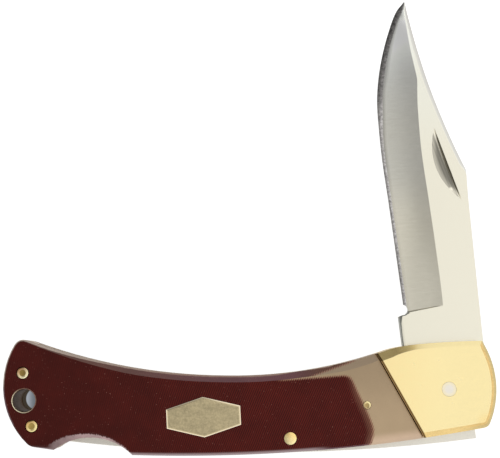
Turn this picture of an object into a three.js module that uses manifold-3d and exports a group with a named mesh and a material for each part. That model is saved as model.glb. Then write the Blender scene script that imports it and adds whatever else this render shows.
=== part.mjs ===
// Folding lock-back pocket knife, shown with its blade part way open. Sizes are in millimetres.
// The knife lies on its back face, z = 0, with the shield side up. The origin is the blade pivot,
// +X runs to the bolster end and +Y to the side that the blade folds out of.
import * as THREE from 'three';
import { mergeVertices } from 'three/addons/utils/BufferGeometryUtils.js';
import Module from 'manifold-3d';

const wasm = await Module();
wasm.setup();

// Stack of plates through the handle
const coverThickness = 4;
const linerThickness = 1.4;
const bladeThickness = 3;
const bladeSideClearance = 0.1;
const wellWidth = bladeThickness + 2 * bladeSideClearance;
const wellBackZ = coverThickness + linerThickness;
const wellFrontZ = wellBackZ + wellWidth;
const coverBaseZ = wellFrontZ + linerThickness;
const overallThickness = coverBaseZ + coverThickness;
const midPlaneZ = overallThickness / 2;

// Side view of the handle
const pivotToButt = 114.8;
const buttX = -pivotToButt;
const buttRadius = 20.6;
const endRadius = 22.7;
const bellyRadius = 432;
const waistRearRadius = 155;
const waistFrontRadius = 122;
const notchRadius = 15.6;
const buttCrown = point(buttX + 4.1, 13.2);
const heelCorner = point(buttX + 7.5, -14.45);
const notchRear = point(buttX + 13.4, -15.35);
const notchFront = point(buttX + 33.6, -16.6);
const bolsterToe = point(10.1, -9.65);
const bolsterHorn = point(8.95, 12.45);
const bolsterBrow = point(-9.7, 11.95);
const shoulder = point(-15, 10.24);
const waist = point(-57.2, 3.43);
const crownRounding = 2.2;
const heelRounding = 1;
const toeRounding = 1.1;

// Bevel round the covers: its width along each side, and its drop for each millimetre of width
const bevelSlope = 0.75;
const scaleBevel = 1.65;
const jointBevel = 2.3;
const shoulderBevel = 2.15;
const browBevel = 1.3;
const hornBevel = 1.2;
const endBevel = 1.45;
const toeBevel = 1.45;
const bellyBevel = 0.35;
const notchBevel = 1.35;
const buttBevel = 0.4;

// Slanting joint between scale and bolster, and the shallow ramp ground into the scale before it
const jointTop = point(-18.5, 8.8);
const jointBottom = point(-6.8, -12.2);
const jointMiddle = jointTop.clone().add(jointBottom).multiplyScalar(0.5);
const jointGap = 0.3;
const rampTop = jointTop.clone().add(point(-7, -5.6));
const rampBottom = jointBottom.clone().add(point(-12.5, 1.6));
const rampDepth = 0.4;

// Pins and the lanyard tube
const pinClearance = 0.05;
const pivotRadius = 1.84;
const pivotRunning = 0.06;
const lockPinRadius = 1.63;
const lockPinPlace = point(-40.9, -12.45);
const buttPinRadius = 1.6;
const upperButtPinPlace = point(buttX + 5.2, 4.14);
const lowerButtPinPlace = point(buttX + 7.8, -9.37);
const tubeOuterRadius = 3.175;
const tubeWall = 0.26;
const tubePlace = point(buttX + 5.72, -2.86);
const scalePinRadius = 1.05;
const scalePinPlace = jointMiddle.clone().add(point(-8.55, -2.36));
const pinCrown = 0.1;
const rivetRadius = 0.8;
const rivetDepth = 2.2;
const rivetPlaces = { upper: point(-7.6, 6.6), lower: point(1.6, -8.2) };

// Shield let into the front scale
const shieldPlace = point(-63.1, -7.05);
const shieldTurn = THREE.MathUtils.degToRad(3);
const shieldLength = 19;
const shieldEndHeight = 4.85;
const shieldHeight = 10.25;
const shieldBevel = 0.45;
const shieldProud = 0.25;
const shieldSeatDepth = 0.8;
const shieldPostRadius = 0.75;
const shieldPostLength = 1.6;
const shieldPostSpacing = 11;

// Butt spacer, with a pocket for the blade tip and a slot for the spring
const tubeMargin = 2;
const pinMargin = 1;
const pocketFloorRise = 1.9;
const spacerFrontX = tubePlace.x + tubeOuterRadius + tubeMargin;
const tipPocketX = upperButtPinPlace.x + buttPinRadius + pinMargin;
const springSlotDepth = 3.2;

// Blade, drawn in its own axes: x from the pivot to the tip, y from the spine side to the edge
const spineDrop = 11.3;
const edgeDrop = 10.85;
const tipClearance = 1.35;
const bladeReach = -tipPocketX - tipClearance;
const tipRise = 0.5;
const tipThinning = 16;
const clipLength = 47.9;
const clipRadius = 206;
const swedgeWidth = 1.05;
const swedgeRunIn = 4;
const clipSpineThickness = 1.5;
const edgeWidth = 1.3;
const edgeShoulder = 0.28;
const edgeThickness = 0.05;
const plungeX = 21.7;
const plungeLean = 1.1;
const choilPlace = point(21.95, 9.1);
const choilRadius = 1.3;
const nickRear = point(49.5, 1.9 - spineDrop);
const nickTip = point(69.7, 7.35 - spineDrop);
const nickBulge = 3.4;
const nickDepth = 0.9;

// Tang, in the blade's axes
const kickPlace = point(19.5, 10.2);
const kickRise = 0.4;
const tangRadius = 8;
const tangStepX = -2.2;
const lockNotchFront = 6.45;
const lockNotchRear = 2;
const lockNotchFloor = 5.55;
const closedFlat = 5.75;

// How the moving pieces stand, in degrees
const openAngle = 9;
const closedAngle = 178.5;
const shownAngle = 94.5;
const lockbarLift = 2.7;

// Lockbar and the spring behind it, drawn flush and then lifted
const lockbarProud = 0.4;
const lockbarRearGap = 0.9;
const lockbarChamfer = 0.8;
const noseClearance = 0.15;
const noseFrontClearance = 0.3;
const noseLean = 0.3;
const saddleClearance = 0.35;
const saddleLength = 6.3;
const seatSlope = 2;
const kickSeatRun = 4;
const kickSeatY = -9.95;
const lockbarTopY = -9.45;
const pinLandLength = 4;
const frontArmLength = 24;
const frontArmEndY = -11.3;
const rearArmTopY = -12.9;
const springThickness = 0.9;
const springSideClearance = 0.25;
const springRootY = -6.55;
const springTip = point(-85, -10.25);
const springPadLength = 3;

const overshoot = 1;
const wallSteps = 14;
const pinSides = 28;

function point(x, y) {
  return new THREE.Vector2(x, y);
}

// Curves for the outlines

// The arc from one point to another with a given radius; it bulges to the right of its
// direction when `bulge` is 1 and to the left when it is -1.
function arcBetween(from, to, radius, bulge) {
  const half = from.distanceTo(to) / 2;
  const along = to.clone().sub(from).normalize();
  const side = point(along.y, -along.x).multiplyScalar(bulge);
  const centre = from.clone().add(to).multiplyScalar(0.5);
  centre.addScaledVector(side, -Math.sqrt(radius * radius - half * half));
  const start = from.clone().sub(centre).angle();
  const end = to.clone().sub(centre).angle();
  return new THREE.EllipseCurve(centre.x, centre.y, radius, radius, start, end, bulge < 0);
}

// Points along a ring of sides. Each side gives its curve, its number of steps, the length that
// is rounded off at its start, and the width of its bevel at stops along it.
function traceSides(sides) {
  const points = [];
  const widths = [];
  const add = (p, width) => {
    points.push(p);
    widths.push(width);
  };
  sides.forEach((side, i) => {
    const next = sides[(i + 1) % sides.length];
    const length = side.curve.getLength();
    const first = side.rounding / length;
    const last = 1 - next.rounding / length;
    for (let s = 0; s <= side.steps; s += 1) {
      const t = THREE.MathUtils.lerp(first, last, s / side.steps);
      if (s < side.steps || next.rounding > 0) add(side.curve.getPoint(t), widthAt(side.bevel, t));
    }
    if (next.rounding > 0) {
      const nextFirst = next.rounding / next.curve.getLength();
      const corner = new THREE.QuadraticBezierCurve(
        side.curve.getPoint(last), side.curve.getPoint(1), next.curve.getPoint(nextFirst));
      const before = widthAt(side.bevel, last);
      const after = widthAt(next.bevel, nextFirst);
      for (const t of [0.25, 0.5, 0.75]) {
        add(corner.getPoint(t), THREE.MathUtils.lerp(before, after, t));
      }
    }
  });
  return { points, widths };
}

function widthAt(stops, t) {
  for (let i = 1; i < stops.length; i += 1) {
    const [t0, w0] = stops[i - 1];
    const [t1, w1] = stops[i];
    if (t <= t1) return THREE.MathUtils.mapLinear(Math.max(t, t0), t0, t1, w0, w1);
  }
  return stops[stops.length - 1][1];
}

// Moves each point of a ring inwards by its own width, along both of its neighbouring edges.
function insetRing(points, widths) {
  return points.map((p, i) => {
    const before = inwardNormal(points[(i + points.length - 1) % points.length], p);
    const after = inwardNormal(p, points[(i + 1) % points.length]);
    const both = before.clone().add(after);
    return p.clone().addScaledVector(both, widths[i] / (1 + before.dot(after)));
  });
}

function inwardNormal(a, b) {
  const along = b.clone().sub(a).normalize();
  return point(-along.y, along.x);
}

function atHeight(points, z) {
  return points.map((p) => new THREE.Vector3(p.x, p.y, z));
}

// Solids

// Skins a closed body through rings of equal length; `cap` gives the triangles that close a ring.
function loft(rings, cap) {
  const count = rings[0].length;
  const positions = rings.flat().flatMap((p) => [p.x, p.y, p.z]);
  const index = [];
  for (let r = 0; r < rings.length - 1; r += 1) {
    for (let i = 0; i < count; i += 1) {
      const a = r * count + i;
      const b = r * count + (i + 1) % count;
      index.push(a, b, b + count, a, b + count, a + count);
    }
  }
  const last = (rings.length - 1) * count;
  for (const [a, b, c] of cap(rings[0])) index.push(a, c, b);
  for (const [a, b, c] of cap(rings.at(-1))) index.push(last + a, last + b, last + c);
  const geometry = new THREE.BufferGeometry();
  geometry.setAttribute('position', new THREE.Float32BufferAttribute(positions, 3));
  geometry.setIndex(index);
  return geometry;
}

// A cap for a level ring of any shape.
function levelCap(ring) {
  return THREE.ShapeUtils.triangulateShape(ring.map((p) => point(p.x, p.y)), []);
}

// A cap for a ring whose second half runs back opposite its first half.
function pairedCap(ring) {
  const faces = [];
  for (let i = 0; i < ring.length / 2 - 1; i += 1) {
    const j = ring.length - 1 - i;
    faces.push([i, i + 1, j - 1], [i, j - 1, j]);
  }
  return faces;
}

function plate(points, low, high) {
  return loft([atHeight(points, low), atHeight(points, high)], levelCap);
}

// A plate whose upper edge is bevelled by the given widths.
function bevelledPlate(points, widths, low, high) {
  const wall = points.map((p, i) => new THREE.Vector3(p.x, p.y, high - bevelSlope * widths[i]));
  return loft([atHeight(points, low), wall, atHeight(insetRing(points, widths), high)], levelCap);
}

// A body turned about a line along z; the profile gives radius and height.
function turned(profile, place) {
  const geometry = new THREE.LatheGeometry(profile.map(([r, z]) => point(r, z)), pinSides);
  return geometry.rotateX(Math.PI / 2).translate(place.x, place.y, 0);
}

function rod(place, radius, low, high) {
  return turned([[0, low], [radius, low], [radius, high], [0, high]], place);
}

function solidOf(geometry) {
  const bare = new THREE.BufferGeometry();
  bare.setAttribute('position', geometry.getAttribute('position').clone());
  bare.setIndex(geometry.getIndex());
  const merged = mergeVertices(bare, 1e-4);
  return new wasm.Manifold(new wasm.Mesh({
    numProp: 3,
    vertProperties: merged.getAttribute('position').array,
    triVerts: Uint32Array.from(merged.getIndex().array),
  }));
}

function geometryOf(solid) {
  const mesh = solid.getMesh();
  const geometry = new THREE.BufferGeometry();
  geometry.setAttribute('position', new THREE.Float32BufferAttribute(mesh.vertProperties, 3));
  geometry.setIndex([...mesh.triVerts]);
  return geometry;
}

function cut(geometry, ...tools) {
  return geometryOf(tools.reduce((solid, tool) => solid.subtract(solidOf(tool)), solidOf(geometry)));
}

function join(...geometries) {
  return geometryOf(geometries.map(solidOf).reduce((whole, next) => whole.add(next)));
}

// The same geometry on the other side of the handle's middle plane.
function mirrored(geometry) {
  const twin = geometry.clone();
  const position = twin.getAttribute('position');
  for (let i = 0; i < position.count; i += 1) position.setZ(i, overallThickness - position.getZ(i));
  const index = twin.getIndex();
  for (let i = 0; i < index.count; i += 3) {
    const second = index.getX(i + 1);
    index.setX(i + 1, index.getX(i + 2));
    index.setX(i + 2, second);
  }
  return twin;
}

// Handle outline

const bellyArc = arcBetween(notchFront, bolsterToe, bellyRadius, 1);

function handleSides() {
  return [
    { curve: new THREE.LineCurve(heelCorner, notchRear), steps: 1, rounding: heelRounding,
      bevel: [[0, buttBevel], [1, notchBevel]] },
    { curve: arcBetween(notchRear, notchFront, notchRadius, -1), steps: wallSteps, rounding: 0,
      bevel: [[0, notchBevel], [0.5, notchBevel], [1, bellyBevel]] },
    { curve: bellyArc, steps: 2 * wallSteps, rounding: 0,
      bevel: [[0, bellyBevel], [0.66, bellyBevel], [0.82, toeBevel], [1, toeBevel]] },
    { curve: arcBetween(bolsterToe, bolsterHorn, endRadius, 1), steps: wallSteps,
      rounding: toeRounding, bevel: [[0, toeBevel], [0.25, endBevel], [0.9, endBevel], [1, hornBevel]] },
    { curve: new THREE.QuadraticBezierCurve(bolsterHorn, bolsterBrow, shoulder), steps: wallSteps,
      rounding: 0, bevel: [[0, hornBevel], [0.6, browBevel], [1, shoulderBevel]] },
    { curve: arcBetween(shoulder, waist, waistFrontRadius, -1), steps: wallSteps, rounding: 0,
      bevel: [[0, shoulderBevel], [0.15, jointBevel], [0.55, scaleBevel], [1, scaleBevel]] },
    { curve: arcBetween(waist, buttCrown, waistRearRadius, -1), steps: wallSteps, rounding: 0,
      bevel: [[0, scaleBevel], [0.45, scaleBevel], [1, buttBevel]] },
    { curve: arcBetween(buttCrown, heelCorner, buttRadius, 1), steps: wallSteps,
      rounding: crownRounding, bevel: [[0, buttBevel], [1, buttBevel]] },
  ];
}

const outline = traceSides(handleSides());

// Moves a box so that its lower face lies on the plane through `origin` that is spanned by
// `along` and `across`, with its length along `along`.
function boxOnPlane(origin, along, across, size) {
  const x = along.clone().normalize();
  const z = x.clone().cross(across).normalize();
  const basis = new THREE.Matrix4().makeBasis(x, z.clone().cross(x), z).setPosition(origin);
  return new THREE.BoxGeometry(size, size, size).translate(0, 0, size / 2).applyMatrix4(basis);
}

// A block that takes away the bolster's side of the slanting joint, or with -1 the scale's side.
function jointBlock(sign) {
  const down = jointBottom.clone().sub(jointTop).normalize();
  const side = point(-down.y, down.x).multiplyScalar(sign);
  const start = jointTop.clone().addScaledVector(side, -jointGap / 2);
  const origin = new THREE.Vector3(start.x, start.y, midPlaneZ);
  const along = new THREE.Vector3(down.x, down.y, 0);
  return boxOnPlane(origin, along, new THREE.Vector3(0, 0, -sign), 3 * pivotToButt);
}

// Everything above the shallow ramp that sinks the scale below the bolster at the joint.
function rampBlock() {
  const origin = new THREE.Vector3(rampTop.x, rampTop.y, overallThickness);
  const along = new THREE.Vector3(rampBottom.x - rampTop.x, rampBottom.y - rampTop.y, 0);
  const lowest = new THREE.Vector3(jointMiddle.x, jointMiddle.y, overallThickness - rampDepth);
  return boxOnPlane(origin, along, lowest.sub(origin), pivotToButt);
}

function shieldRing(grow) {
  const end = shieldLength / 2 + grow;
  const flank = shieldEndHeight / 2 + grow;
  const peak = shieldHeight / 2 + grow;
  const corners = [[-end, -flank], [0, -peak], [end, -flank], [end, flank], [0, peak], [-end, flank]];
  return corners.map(([x, y]) => point(x, y).rotateAround(point(0, 0), shieldTurn).add(shieldPlace));
}

function shieldPostPlaces() {
  const reach = point(shieldPostSpacing / 2, 0).rotateAround(point(0, 0), shieldTurn);
  return [shieldPlace.clone().add(reach), shieldPlace.clone().sub(reach)];
}

// Handle pieces

const throughPins = [
  [tubePlace, tubeOuterRadius],
  [upperButtPinPlace, buttPinRadius],
  [lowerButtPinPlace, buttPinRadius],
  [lockPinPlace, lockPinRadius],
];

function holesFor(pins, low, high) {
  return pins.map(([place, radius]) => {
    return rod(place, radius + pinClearance, low - overshoot, high + overshoot);
  });
}

function coverPlate() {
  return bevelledPlate(outline.points, outline.widths, coverBaseZ, overallThickness);
}

function plainScale() {
  const pins = [...throughPins, [scalePinPlace, scalePinRadius]];
  return cut(coverPlate(), jointBlock(1), rampBlock(), ...holesFor(pins, coverBaseZ, overallThickness));
}

// The front scale has a pocket and two post holes for the shield.
function frontScale() {
  const seat = overallThickness - shieldSeatDepth;
  const pocket = plate(shieldRing(pinClearance), seat, overallThickness + overshoot);
  const postFloor = seat - shieldPostLength - pinClearance;
  const postHole = (place) => rod(place, shieldPostRadius + pinClearance, postFloor, overallThickness);
  return cut(plainScale(), pocket, ...shieldPostPlaces().map(postHole));
}

function frontBolster() {
  const rivetTop = coverBaseZ + rivetDepth + pinClearance;
  const rivetHole = (place) => rod(place, rivetRadius + pinClearance, coverBaseZ - overshoot, rivetTop);
  const pivotHole = holesFor([[point(0, 0), pivotRadius]], coverBaseZ, overallThickness);
  return cut(coverPlate(), jointBlock(-1), ...pivotHole, ...Object.values(rivetPlaces).map(rivetHole));
}

function frontLiner() {
  const rivets = Object.values(rivetPlaces).map((place) => [place, rivetRadius]);
  const pins = [...throughPins, [scalePinPlace, scalePinRadius], [point(0, 0), pivotRadius], ...rivets];
  const sheet = plate(outline.points, wellFrontZ, coverBaseZ);
  return cut(sheet, ...holesFor(pins, wellFrontZ, coverBaseZ));
}

// The butt spacer keeps the liners apart, ends in a pocket for the blade tip and grips the spring.
function buttSpacer() {
  const low = wellBackZ - overshoot;
  const high = wellFrontZ + overshoot;
  const far = pivotToButt;
  const well = [
    point(spacerFrontX, -far), point(far, -far), point(far, far), point(tipPocketX, far),
    point(tipPocketX, upperButtPinPlace.y - buttPinRadius - pinMargin),
    point(spacerFrontX, tubePlace.y + pocketFloorRise),
  ];
  const halfSlot = springThickness / 2 + pinClearance;
  const slotEnd = spacerFrontX - springSlotDepth - pinClearance;
  const slot = [
    point(slotEnd, springRootY - halfSlot), point(spacerFrontX + overshoot, springRootY - halfSlot),
    point(spacerFrontX + overshoot, springRootY + halfSlot), point(slotEnd, springRootY + halfSlot),
  ];
  const block = plate(outline.points, wellBackZ, wellFrontZ);
  const holes = holesFor(throughPins, wellBackZ, wellFrontZ);
  return cut(block, plate(well, low, high), plate(slot, low, high), ...holes);
}

// A flat spring that leaves its slot level and curves down to the lockbar's rear arm.
function backSpring() {
  const root = point(spacerFrontX - springSlotDepth, springRootY);
  const mouth = point(spacerFrontX, springRootY);
  const bend = mouth.clone().lerp(point(springTip.x, springRootY), 0.3);
  const leaf = new THREE.QuadraticBezierCurve(mouth, bend, springTip);
  const middle = [root, ...leaf.getPoints(wallSteps)];
  const side = (sign) => middle.map((p, i) => {
    const from = middle[Math.max(i - 1, 0)];
    const to = middle[Math.min(i + 1, middle.length - 1)];
    return p.clone().addScaledVector(inwardNormal(from, to), sign * springThickness / 2);
  });
  const ring = [...side(-1), ...side(1).reverse()];
  return plate(ring, wellBackZ + springSideClearance, wellFrontZ - springSideClearance);
}

function crownedPin(place, radius, low, high) {
  const shoulderRadius = 0.7 * radius;
  return turned([[0, low], [radius, low], [radius, high], [shoulderRadius, high + 0.8 * pinCrown],
    [0, high + pinCrown]], place);
}

// A peened pin with a raised rim round a dished middle.
function dishedPin(place, radius) {
  const top = overallThickness;
  const rimRadius = 0.82 * radius;
  const dishRadius = 0.6 * radius;
  return turned([[0, 0], [radius, 0], [radius, top], [rimRadius, top + pinCrown],
    [dishRadius, top - pinCrown], [0, top - pinCrown]], place);
}

function lanyardTube() {
  const bore = tubeOuterRadius - tubeWall;
  return turned([[bore, 0], [tubeOuterRadius, 0], [tubeOuterRadius, overallThickness],
    [bore, overallThickness], [bore, 0]], tubePlace);
}

// A six-sided plate with bevelled edges, level with the scale where the bevel starts, on two posts.
function shield() {
  const ring = shieldRing(0);
  const face = insetRing(ring, ring.map(() => shieldBevel));
  const seat = overallThickness - shieldSeatDepth;
  const rings = [atHeight(ring, seat), atHeight(ring, overallThickness),
    atHeight(face, overallThickness + shieldProud)];
  const post = (place) => rod(place, shieldPostRadius, seat - shieldPostLength, overallThickness);
  return join(loft(rings, levelCap), ...shieldPostPlaces().map(post));
}

// Blade

const tip = point(bladeReach, tipRise);

// A point at a share of the ground length, counted from the plunge to the tip.
function alongBlade(share, y) {
  return point(THREE.MathUtils.lerp(plungeX, bladeReach, share), y);
}

// Cutting edge: share of the ground length, and share of the edge's greatest drop
const edgeStops = [
  [-0.14, 0.745], [0.1, 0.834], [0.34, 0.922], [0.48, 0.982], [0.575, 1], [0.67, 0.977],
  [0.75, 0.899], [0.829, 0.719], [0.907, 0.498], [0.967, 0.276],
];

// Where the hollow grind meets the flat: share of the ground length, and height
const grindStops = [
  [-0.26, -0.9], [0, -1.5], [0.135, -1.65], [0.24, -1.1], [0.468, -0.3], [0.656, -0.1],
  [0.752, -0.75], [0.964, 1.3],
];

const edgeLine = new THREE.SplineCurve([
  ...edgeStops.map(([share, drop]) => alongBlade(share, drop * edgeDrop)), tip,
]);
const edgePoints = edgeLine.getPoints(240);
const grindPoints = [...grindStops.map(([share, y]) => alongBlade(share, y)), tip];
const clipStart = point(bladeReach - clipLength, -spineDrop);
const clipArc = arcBetween(clipStart, tip, clipRadius, -1);

function heightOn(points, x) {
  const i = Math.min(Math.max(points.findIndex((p) => p.x >= x), 1), points.length - 1);
  return THREE.MathUtils.mapLinear(x, points[i - 1].x, points[i].x, points[i - 1].y, points[i].y);
}

function spineAt(x) {
  if (x <= clipStart.x) return -spineDrop;
  return clipArc.aY + Math.sqrt(clipRadius ** 2 - (x - clipArc.aX) ** 2);
}

// One cross-section of the ground blade: spine, swedge, flat, hollow and sharpened edge. Each
// width is held back near the tip, where the blade narrows and thins.
function bladeSection(x) {
  const spine = spineAt(x);
  const edge = heightOn(edgePoints, x);
  const width = edge - spine;
  const thin = Math.sqrt(THREE.MathUtils.clamp((bladeReach - x) / tipThinning, 0, 1));
  const flatHalf = bladeThickness / 2 * THREE.MathUtils.lerp(0.12, 1, thin);
  const grind = THREE.MathUtils.clamp(heightOn(grindPoints, x), spine + 0.3 * width, edge - 0.35 * width);
  const onClip = THREE.MathUtils.clamp((x - clipStart.x) / swedgeRunIn, 0, 1);
  const swedge = Math.min(swedgeWidth, 0.22 * width) * Math.max(onClip, 0.02);
  const clipHalf = Math.min(clipSpineThickness / 2, 0.6 * flatHalf);
  const spineHalf = THREE.MathUtils.lerp(flatHalf, clipHalf, onClip);
  const bevel = Math.min(edgeWidth, 0.2 * width);
  const behind = Math.min(edgeShoulder, 0.4 * flatHalf);
  const half = [[spine, spineHalf], [spine + swedge, flatHalf], [grind, flatHalf]];
  for (const u of [0.12, 0.27, 0.45, 0.65, 0.85, 1]) {
    const y = THREE.MathUtils.lerp(grind, edge - bevel, u);
    half.push([y, behind + (flatHalf - behind) * (1 - u) ** 2]);
  }
  half.push([edge, edgeThickness / 2]);
  const back = half.map(([y, z]) => new THREE.Vector3(x, y, -z));
  const front = half.map(([y, z]) => new THREE.Vector3(x, y, z));
  return [...back, ...front.reverse()];
}

function groundBlade() {
  const tipSteps = [15, 12, 9.5, 7.5, 5.5, 4, 2.8, 1.8, 1, 0.5, 0.12];
  const evenSteps = 20;
  const stations = [plungeX - 3];
  for (let s = 1; s <= evenSteps; s += 1) {
    stations.push(THREE.MathUtils.lerp(plungeX, bladeReach - 18, s / evenSteps));
  }
  for (const step of tipSteps) stations.push(bladeReach - step);
  return loft(stations.map(bladeSection), pairedCap);
}

// The tang has the lock notch, a flat for the lockbar's nose when closed, the kick and the plunge.
function tangOutline() {
  const flatAt = THREE.MathUtils.degToRad(270 + openAngle - closedAngle);
  const flatEnd = flatAt + Math.acos(closedFlat / tangRadius);
  const notchCorner = Math.atan2(-Math.sqrt(tangRadius ** 2 - lockNotchRear ** 2), lockNotchRear);
  const round = new THREE.EllipseCurve(0, 0, tangRadius, tangRadius, flatEnd, notchCorner, false);
  const flatY = (closedFlat - tangStepX * Math.cos(flatAt)) / Math.sin(flatAt);
  const joinX = plungeX + 0.8;
  return [
    point(lockNotchFront, -lockNotchFloor), point(lockNotchFront, -spineDrop),
    point(joinX, -spineDrop), point(joinX, -3), point(plungeX, -1.5),
    point(plungeX - plungeLean, 7.8), point(plungeX - plungeLean, choilPlace.y),
    kickPlace, point(tangRadius + 1, kickPlace.y - kickRise), point(tangRadius - 1.5, tangRadius),
    point(0, tangRadius), point(tangStepX, Math.sqrt(tangRadius ** 2 - tangStepX ** 2)),
    point(tangStepX, flatY), ...round.getPoints(48), point(lockNotchRear, -lockNotchFloor),
  ];
}

// A shallow cone that leaves a nail nick with one steep straight wall.
function nickCutter() {
  const chord = nickTip.clone().sub(nickRear);
  const radius = (chord.length() / 2) ** 2 / (2 * nickDepth);
  const depth = 2 * nickBulge;
  const cone = new THREE.CylinderGeometry(radius - 2 * nickDepth, radius, depth, 360);
  cone.translate(0, depth / 2, 0).rotateZ(chord.angle());
  const middle = nickRear.clone().add(nickTip).multiplyScalar(0.5);
  return cone.translate(middle.x, middle.y, bladeThickness / 2 + radius - nickDepth);
}

function blade() {
  const half = bladeThickness / 2;
  const choil = rod(choilPlace, choilRadius, -bladeThickness, bladeThickness);
  const pivotHole = rod(point(0, 0), pivotRadius + pivotRunning, -bladeThickness, bladeThickness);
  const whole = join(plate(tangOutline(), -half, half), groundBlade());
  return cut(whole, choil, pivotHole, nickCutter());
}

// Lockbar

// A point given in the axes of the fully open blade, in the handle's axes.
function openBladePoint(x, y) {
  return point(x, y).rotateAround(point(0, 0), THREE.MathUtils.degToRad(openAngle));
}

function lockbarLowerEdge(x) {
  const radius = bellyRadius + lockbarProud;
  return point(x, bellyArc.aY - Math.sqrt(radius ** 2 - (x - bellyArc.aX) ** 2));
}

// From the rear: the belly edge, the nose in the lock notch, the saddle round the tang, the seat
// for the kick, the land over the pin and the arm that the spring presses on.
function lockbarOutline() {
  const rearX = spacerFrontX + lockbarRearGap;
  const noseRear = lockNotchRear + noseClearance;
  const noseFront = lockNotchFront - noseFrontClearance;
  const noseTop = -lockNotchFloor - noseFrontClearance;
  const saddleY = -tangRadius - saddleClearance;
  const toeX = openBladePoint(noseFront, -spineDrop).x;
  const belly = [];
  for (let s = 0; s <= wallSteps; s += 1) {
    belly.push(lockbarLowerEdge(THREE.MathUtils.lerp(rearX + lockbarChamfer, toeX, s / wallSteps)));
  }
  const kickSeatEnd = -kickPlace.x - kickSeatRun;
  return [
    point(rearX, rearArmTopY), point(rearX, belly[0].y + lockbarChamfer), ...belly,
    openBladePoint(noseFront - noseLean, noseTop), openBladePoint(noseRear, noseTop),
    point(openBladePoint(noseRear, -tangRadius).x, saddleY), point(-saddleLength, saddleY),
    point(-saddleLength - seatSlope, kickSeatY), point(kickSeatEnd, kickSeatY),
    point(kickSeatEnd - seatSlope, lockbarTopY), point(lockPinPlace.x - pinLandLength, lockbarTopY),
    point(lockPinPlace.x - frontArmLength, frontArmEndY), point(springTip.x + springPadLength, rearArmTopY),
  ];
}

function lockbar() {
  const half = bladeThickness / 2;
  const bar = plate(lockbarOutline(), -half, half);
  return cut(bar, rod(lockPinPlace, lockPinRadius + pivotRunning, -bladeThickness, bladeThickness));
}

// Materials and assembly

const finish = {
  steel: { color: 0xcfccc4, roughness: 0.3, metalness: 1 },
  spring: { color: 0x9a9a98, roughness: 0.45, metalness: 1 },
  brass: { color: 0xd9b877, roughness: 0.28, metalness: 1 },
  nickelSilver: { color: 0xb3a57f, roughness: 0.38, metalness: 1 },
  micarta: { color: 0x4a1917, roughness: 0.5, metalness: 0 },
};

function piece(name, geometry, look) {
  const mesh = new THREE.Mesh(geometry, new THREE.MeshStandardMaterial(finish[look]));
  mesh.name = name;
  return mesh;
}

function handlePieces() {
  const bolster = frontBolster();
  const liner = frontLiner();
  const scalePin = crownedPin(scalePinPlace, scalePinRadius, wellFrontZ, overallThickness - pinCrown);
  return [
    piece('liner_front', liner, 'brass'),
    piece('liner_back', mirrored(liner), 'brass'),
    piece('butt_spacer', buttSpacer(), 'brass'),
    piece('back_spring', backSpring(), 'spring'),
    piece('scale_front', frontScale(), 'micarta'),
    piece('scale_back', mirrored(plainScale()), 'micarta'),
    piece('bolster_front', bolster, 'brass'),
    piece('bolster_back', mirrored(bolster), 'brass'),
    piece('pivot_pin', rod(point(0, 0), pivotRadius, 0, overallThickness), 'steel'),
    piece('lockbar_pin', crownedPin(lockPinPlace, lockPinRadius, 0, overallThickness), 'brass'),
    piece('butt_pin_upper', dishedPin(upperButtPinPlace, buttPinRadius), 'brass'),
    piece('butt_pin_lower', dishedPin(lowerButtPinPlace, buttPinRadius), 'brass'),
    piece('lanyard_tube', lanyardTube(), 'brass'),
    piece('scale_pin_front', scalePin, 'brass'),
    piece('scale_pin_back', mirrored(scalePin), 'brass'),
    piece('shield', shield(), 'nickelSilver'),
  ];
}

function rivetPieces() {
  return Object.entries(rivetPlaces).flatMap(([level, place]) => {
    const rivet = rod(place, rivetRadius, wellFrontZ, coverBaseZ + rivetDepth);
    return [
      piece(`bolster_rivet_front_${level}`, rivet, 'brass'),
      piece(`bolster_rivet_back_${level}`, mirrored(rivet), 'brass'),
    ];
  });
}

const knife = new THREE.Group();
knife.add(...handlePieces(), ...rivetPieces());

const bladeGroup = new THREE.Group();
bladeGroup.position.z = midPlaneZ;
bladeGroup.rotation.z = THREE.MathUtils.degToRad(shownAngle);
bladeGroup.add(piece('blade', blade(), 'steel'));
knife.add(bladeGroup);

const lockbarMesh = piece('lockbar', lockbar(), 'steel');
lockbarMesh.position.set(-lockPinPlace.x, -lockPinPlace.y, 0);
const lockbarGroup = new THREE.Group();
lockbarGroup.position.set(lockPinPlace.x, lockPinPlace.y, midPlaneZ);
lockbarGroup.rotation.z = -THREE.MathUtils.degToRad(lockbarLift);
lockbarGroup.add(lockbarMesh);
knife.add(lockbarGroup);

export default knife;
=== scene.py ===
# Folding lock-back pocket knife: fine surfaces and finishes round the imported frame.
# Blender units are metres. Names that end in _mm, and the blade's own axes, are in millimetres.
import math
from functools import reduce

import bpy
from mathutils import Matrix, Vector


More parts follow.
